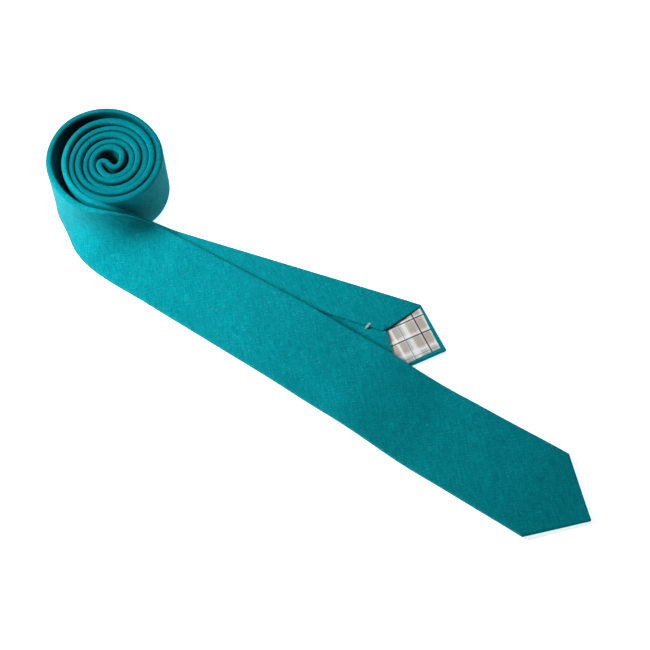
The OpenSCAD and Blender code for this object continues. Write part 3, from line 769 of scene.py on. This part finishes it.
def outer_cloth():
    """Teal bias-cut linen with slubs and pale flecks, with painted shade on the roll's folded edges and
    between its turns.
    """
    n = Nodes("teal_linen", 0.85, 0.16, 0.12, (0.02, 0.6, 0.72, 1))
    u, v = n.uv()
    a, b = bias(n, u, v)
    height, warp_on_top = plain_weave(n, a, b, TEAL_PITCH, 1.6)
    warp_at = n.vector(n.math("MULTIPLY", a, 0.16), n.math("MULTIPLY", b, 2.1))
    weft_at = n.vector(n.math("MULTIPLY", a, 2.1), n.math("MULTIPLY", b, 0.16), 7.3)
    warp_slub, weft_slub = n.noise(warp_at, 1.0, 3.0, 0.6), n.noise(weft_at, 1.0, 3.0, 0.6)
    slub = n.math("ADD", n.math("MULTIPLY", warp_slub, warp_on_top),
                  n.math("MULTIPLY", weft_slub, n.math("SUBTRACT", 1.0, warp_on_top)))
    cloud = n.noise(n.vector(u, v), 0.09, 3.0)
    base = n.mix(n.remap(slub, 0.34, 0.66), TEAL_DEEP, TEAL_BRIGHT)
    base = n.mix(n.remap(cloud, 0.3, 0.7, 0.0, 0.35), base, TEAL_CLOUD)
    fleck = n.noise(n.vector(n.math("MULTIPLY", a, 0.42), n.math("MULTIPLY", b, 1.9), 3.1), 1.0, 1.0)
    base = n.mix(n.remap(fleck, 0.64, 0.8, 0.0, 0.6), base, TEAL_FLECK)
    base = n.mix(n.remap(height, 0.2, 1.1, 0.55, 0.0), base, TEAL_GAP)
    blade_wide = n.math("MULTIPLY_ADD", u, -BLADE_TAPER, BLADE_W + BLADE_TAPER * BLADE_W / 2)
    tail_wide = n.math("MULTIPLY_ADD", u, TAIL_TAPER, TAIL_W - TAIL_TAPER * (STRAND - TAIL_W / 2))
    wide = n.math("MAXIMUM", n.math("MAXIMUM", NECK_W, blade_wide), tail_wide)
    rolled = n.math("MULTIPLY", n.remap(u, *ROLLED_FROM),
                    n.remap(u, STRAND - ROLLED_TO[0], STRAND - ROLLED_TO[1]))
    from_edge = n.math("MULTIPLY_ADD", wide, -0.5, n.math("ABSOLUTE", v))
    # Painted shade along the folded edges of the rolled turns, where the gaps between them get little
    # light
    edge_shade_mask = n.math("MULTIPLY", rolled, n.remap(from_edge, -1.2, 1.2, 0.0, 0.5))
    base = n.mix(edge_shade_mask, base, PAINTED_EDGE_SHADE)
    # Painted shade between the turns, where little light gets in: the back of every turn, and the front
    # of the inner ones
    back = n.remap(from_edge, 2.8, 4.4)
    inner_turns = n.remap(u, OUTER_TURN_END - 10, OUTER_TURN_END + 20)
    front = n.math("MULTIPLY", n.remap(from_edge, -0.6, -2.2), inner_turns)
    wall_shade_mask = n.math("MULTIPLY", rolled, n.math("MAXIMUM", back, front))
    base = n.mix(n.math("MULTIPLY", wall_shade_mask, 0.7), base, PAINTED_WALL_SHADE)
    n.colour(base)
    fibre = n.noise(n.vector(n.math("MULTIPLY", a, 6.0), n.math("MULTIPLY", b, 6.0)), 1.0, 4.0)
    relief = n.bump(height, 0.55, 0.00012)
    relief = n.bump(slub, 0.5, 0.0002, relief)
    n.normal(n.bump(fibre, 0.3, 0.00006, relief))
    return n.material


def stripe(n, coordinate, centre, half, blur):
    """1 within a line of the check and 0 outside it."""
    away = n.math("ABSOLUTE", n.math("SUBTRACT", coordinate, centre))
    return n.remap(away, half, half + blur, 1.0, 0.0)


CHECK = 38           # repeat of the lining's check
# Stripes across the first direction and the second: centre and half width within one repeat
BEIGE_A = [(1.4, 2.2), (12.7, 3.2), (23.5, 3.4), (32.6, 3.2)]
BEIGE_B = [(5.8, 1.8), (12.5, 2.1), (22.8, 1.7), (30.0, 3.0)]
WHITE_A, WHITE_B = [(7.4, 0.8), (18.4, 0.5), (29.2, 0.3)], [(2.5, 0.5), (16.8, 1.2), (25.6, 0.6)]
DARK_A, DARK_B = [(17.0, 0.34), (28.2, 0.34)], [(8.6, 0.4), (34.6, 0.34)]
TEAL_A, TEAL_B = [(4.6, 0.24)], [(20.0, 0.28)]
# Each kind of stripe: its lines both ways, how soft its edge is, how strong it is, and its colour
STRIPES = [(BEIGE_A, BEIGE_B, 0.18, 0.4, srgb(150, 138, 118)),
           (WHITE_A, WHITE_B, 0.12, 0.6, srgb(250, 248, 246)),
           (TEAL_A, TEAL_B, 0.15, 0.75, srgb(60, 150, 160)),
           (DARK_A, DARK_B, 0.15, 0.92, srgb(40, 28, 32))]


def check_lining():
    """Pale lining with a woven check, its stripes running with the bias-cut threads."""
    n = Nodes("checked_lining", 0.75, 0.05, 0.15)
    e, v = n.uv()
    root = math.sqrt(0.5)
    a = n.math("WRAP", n.math("MULTIPLY", n.math("ADD", e, v), root), CHECK, 0.0)
    b = n.math("WRAP", n.math("MULTIPLY", n.math("SUBTRACT", e, v), root), CHECK, 0.0)

    def band(coordinate, lines, blur):
        total = stripe(n, coordinate, *lines[0], blur)
        for line in lines[1:]:
            total = n.math("MAXIMUM", total, stripe(n, coordinate, *line, blur))
        return total

    base = srgb(228, 226, 228)
    for lines_a, lines_b, blur, strength, colour in STRIPES:
        for lines, coordinate in ((lines_a, a), (lines_b, b)):
            base = n.mix(n.math("MULTIPLY", band(coordinate, lines, blur), strength), base, colour)
    ga, gb = bias(n, e, v)
    height, _ = plain_weave(n, ga, gb, LINING_PITCH, 0.5)
    fuzz = n.noise(n.vector(n.math("MULTIPLY", ga, 3.0), gb), 1.0, 3.0)
    base = n.mix(n.remap(height, 0.2, 1.1, 0.22, 0.0), base, srgb(120, 108, 100))
    n.colour(n.mix(n.remap(fuzz, 0.3, 0.7, 0.0, 0.1), base, srgb(205, 190, 180)))
    n.normal(n.bump(height, 0.4, 0.00006))
    return n.material


def wool_lining():
    n = Nodes("brushed_wool", 0.95, 0.5)
    u, v = n.uv()
    height, _ = plain_weave(n, u, v, WOOL_PITCH, 1.2)
    fuzz = n.noise(n.vector(u, v), 2.5, 6.0, 0.7)
    n.colour(n.mix(n.remap(fuzz, 0.3, 0.7), srgb(214, 205, 184), srgb(240, 235, 220)))
    n.normal(n.bump(fuzz, 0.6, 0.0002, n.bump(height, 0.5, 0.00015)))
    return n.material


def sewing_thread():
    n = Nodes("sewing_thread", 0.45, 0.25, 0.45)
    u, v = n.uv()
    ply = n.math("SINE", n.math("ADD", n.math("MULTIPLY", u, 16.0), n.math("MULTIPLY", v, 2.0)))
    fuzz = n.noise(n.vector(u, v), 9.0, 3.0)
    tint = n.mix(n.remap(ply, -1.0, 1.0), srgb(120, 152, 168), srgb(196, 212, 222))
    n.colour(n.mix(n.remap(fuzz, 0.35, 0.7, 0.0, 0.3), tint, srgb(120, 160, 172)))
    n.normal(n.bump(ply, 0.6, 0.00005))
    return n.material


TEAL, LINING, WOOL, THREAD = outer_cloth(), check_lining(), wool_lining(), sewing_thread()

# ---- pieces ----
BLADE_TACK_S = BLADE_W / 2 * (1 + MOUTH) + TACK_BACK
TAIL_TACK_S = STRAND - TAIL_W / 2 * (1 + MOUTH) - TACK_BACK
TAIL_FOLD_S, TAIL_JOIN_S = STRAND - TAIL_FLAT, STRAND - TAIL_PIECE
JOIN_GAP, INSET = 0.1, 6
blade_ends, tail_ends = end_stops(BLADE_W), end_stops(TAIL_W)
blade_s = np.concatenate([blade_ends, stops(blade_ends[-1] + 1.5, BLADE_PIECE - JOIN_GAP / 2)])
tail_s = np.concatenate([stops(TAIL_JOIN_S + JOIN_GAP / 2, STRAND - tail_ends[-1] - 1.5),
                         STRAND - np.array(tail_ends[::-1])])
neck_s = stops(BLADE_PIECE + JOIN_GAP / 2, TAIL_JOIN_S - JOIN_GAP / 2)
LINED_FROM = 8       # the wool starts this far from a point
TIPPING_OVER = 12    # the lining goes on past its opening by this much


def across_fold(obj, way):
    """Bakes the piece's place into its mesh."""
    way = Vector((way[0], way[1], 0))
    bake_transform(obj)


def blend_blade(obj):
    across_fold(obj, (1, 0))


def blend_tail(obj):
    way = (cos_d(TAIL_ANGLE), sin_d(TAIL_ANGLE))
    across_fold(obj, way)


blade_cloth = cloth("blade_cloth", blade_s, TEAL)
neck_cloth = cloth("neck_cloth", neck_s, TEAL)
tail_cloth = cloth("tail_cloth", tail_s, TEAL)
blade_wool = wool_ply("blade_wool", blade_s[blade_s > LINED_FROM], WOOL)
neck_wool = wool_ply("neck_wool", neck_s, WOOL)
tail_wool = wool_ply("tail_wool", tail_s[tail_s < STRAND - LINED_FROM], WOOL)
blade_lined = blade_s[(blade_s > HEM) & (blade_s < BLADE_W / 2 * (1 + MOUTH) + TIPPING_OVER)]
tail_lined = tail_s[(tail_s < STRAND - HEM)
                    & (tail_s > STRAND - TAIL_W / 2 * (1 + MOUTH) - TIPPING_OVER)]
blade_tipping = tipping_ply("blade_lining", blade_lined, LINING)
tail_tipping = tipping_ply("tail_lining", tail_lined, LINING)
keeper = keeper_strip("keeper_strip", TEAL)
keeper_sewing = keeper_thread("keeper_sewing", THREAD)
blade_tack = bar_tack("blade_tack_sewing", BLADE_TACK_S, THREAD)
tail_tack = bar_tack("tail_tack_sewing", TAIL_TACK_S, THREAD)
blade_slip = slip_thread("blade_slip_sewing", [(BLADE_TACK_S + INSET, BLADE_FLAT - INSET)], THREAD)
tail_slip = slip_thread("tail_slip_sewing", [(TAIL_FOLD_S + INSET, TAIL_TACK_S - INSET)], THREAD)
rolled_slip = slip_thread("rolled_slip_sewing", [(BLADE_FLAT + INSET, BLADE_PIECE - INSET),
                                                 (BLADE_PIECE + INSET, TAIL_JOIN_S - INSET),
                                                 (TAIL_JOIN_S + INSET, TAIL_FOLD_S - INSET)], THREAD)
blade_join = seam_thread("blade_neck_sewing", BLADE_PIECE, THREAD)
tail_join = seam_thread("neck_tail_sewing", TAIL_JOIN_S, THREAD)

for obj in (blade_cloth, blade_wool):
    blend_blade(obj)
for obj in (tail_cloth, tail_wool):
    blend_tail(obj)
for obj in (neck_cloth, neck_wool, rolled_slip, blade_join, tail_join):
    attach(obj, "roll")
for obj in (blade_tipping, blade_tack, blade_slip, keeper, keeper_sewing):
    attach(obj, "front_blade")
for obj in (tail_tipping, tail_tack, tail_slip):
    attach(obj, "tail")

for obj, slot, nodes in (
        (blade_cloth, "outer_cloth", ["blade_shell", "blade_shell_rolled"]),
        (neck_cloth, "outer_cloth", ["neck_shell"]),
        (tail_cloth, "outer_cloth", ["tail_shell", "tail_shell_rolled"]),
        (blade_wool, "interlining_wool", ["blade_interlining", "blade_interlining_rolled"]),
        (neck_wool, "interlining_wool", ["neck_interlining"]),
        (tail_wool, "interlining_wool", ["tail_interlining", "tail_interlining_rolled"]),
        (blade_tipping, "tipping_check", ["blade_tipping"]),
        (tail_tipping, "tipping_check", ["tail_tipping"]),
        (keeper, "outer_cloth", ["keeper_loop"]),
        (keeper_sewing, "sewing_thread", ["keeper_loop_stitches"]),
        (blade_tack, "sewing_thread", ["blade_bar_tack"]),
        (tail_tack, "sewing_thread", ["tail_bar_tack"]),
        (blade_slip, "sewing_thread", ["blade_slip_stitch"]),
        (tail_slip, "sewing_thread", ["tail_slip_stitch"]),
        (rolled_slip, "sewing_thread", ["rolled_slip_stitch"]),
        (blade_join, "sewing_thread", ["blade_neck_join"]),
        (tail_join, "sewing_thread", ["neck_tail_join"])):
    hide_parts(*nodes)


# ---- floor, light and camera ----
FLOOR_HALF = 4.0                     # metres from the middle of the floor to its sides
FLOOR_Z, UNDER_Z = -0.0002, -0.0001  # both floors lie just under the tie, the dark sheet of painted shade above the pale
UNDER_FROM, UNDER_TO, UNDER_POINTS = 48, 255, 80  # the painted-shade sheet's outline follows the outer turn


def stage_flat(name, points, material_name, colour, roughness):
    """A flat face of the stage. Returns its object and its shader."""
    mesh = bpy.data.meshes.new(name)
    mesh.from_pydata(points, [], [tuple(range(len(points)))])
    obj = bpy.data.objects.new(name, mesh)
    bpy.context.scene.collection.objects.link(obj)
    material = bpy.data.materials.new(material_name)
    material.use_nodes = True
    shader = material.node_tree.nodes["Principled BSDF"]
    shader.inputs["Base Color"].default_value = colour
    shader.inputs["Roughness"].default_value = roughness
    mesh.materials.append(material)
    return obj, shader


def floor():
    """The pale floor, and a dark sheet of painted shade under the roll, so that nothing pale shows
    between its turns.
    """
    half = FLOOR_HALF
    corners = [(-half, -half, 0), (half, -half, 0), (half, half, 0), (-half, half, 0)]
    obj, shader = stage_flat("floor", corners, "pale_floor", (0.86, 0.86, 0.86, 1), 0.9)
    shader.inputs["Emission Color"].default_value = (1, 1, 1, 1)
    shader.inputs["Emission Strength"].default_value = 0.8
    obj.location.z = FLOOR_Z
    at = np.linspace(BLADE_FLAT + UNDER_FROM, BLADE_FLAT + UNDER_TO, UNDER_POINTS)
    turn = [(x * MM, y * MM, UNDER_Z) for x, y in (along(at)[:, :2] - MIDDLE).tolist()]
    # A near-black sheet under the roll stands in for the shade between its turns
    under, _ = stage_flat("painted_shade_under_roll", turn, "painted_shade_sheet", (0.02, 0.05, 0.055, 1), 0.95)


def area_light(name, at, towards, size, power):
    """A round lamp. Places and size are in metres, power in watts."""
    lamp = bpy.data.lights.new(name, "AREA")
    lamp.shape = "DISK"
    lamp.size = size
    lamp.energy = power
    obj = bpy.data.objects.new(name, lamp)
    bpy.context.scene.collection.objects.link(obj)
    obj.location = at
    obj.rotation_euler = (Vector(towards) - Vector(at)).to_track_quat("-Z", "Y").to_euler()


def light():
    world = bpy.data.worlds.new("studio")
    world.use_nodes = True
    world.node_tree.nodes["Background"].inputs[0].default_value = (0.95, 0.97, 1.0, 1)
    world.node_tree.nodes["Background"].inputs[1].default_value = 0.05
    bpy.context.scene.world = world
    area_light("key", (-0.38, -0.19, 0.38), (-0.08, -0.03, 0.0), 0.16, 4.3)
    area_light("top", (-0.20, 0.30, 0.55), (-0.06, 0.0, 0.0), 0.20, 1.0)
    bpy.context.scene.view_settings.view_transform = "Standard"


def camera():
    data = bpy.data.cameras.new("camera")
    data.lens = 71.27
    data.sensor_width = 36
    data.clip_start, data.clip_end = 0.01, 20
    obj = bpy.data.objects.new("camera", data)
    obj.location = (0.19096, -0.29945, 0.7287)
    obj.rotation_euler = (math.radians(25.95), 0, math.radians(31.54))
    bpy.context.scene.collection.objects.link(obj)
    bpy.context.scene.camera = obj


floor()
light()
camera()
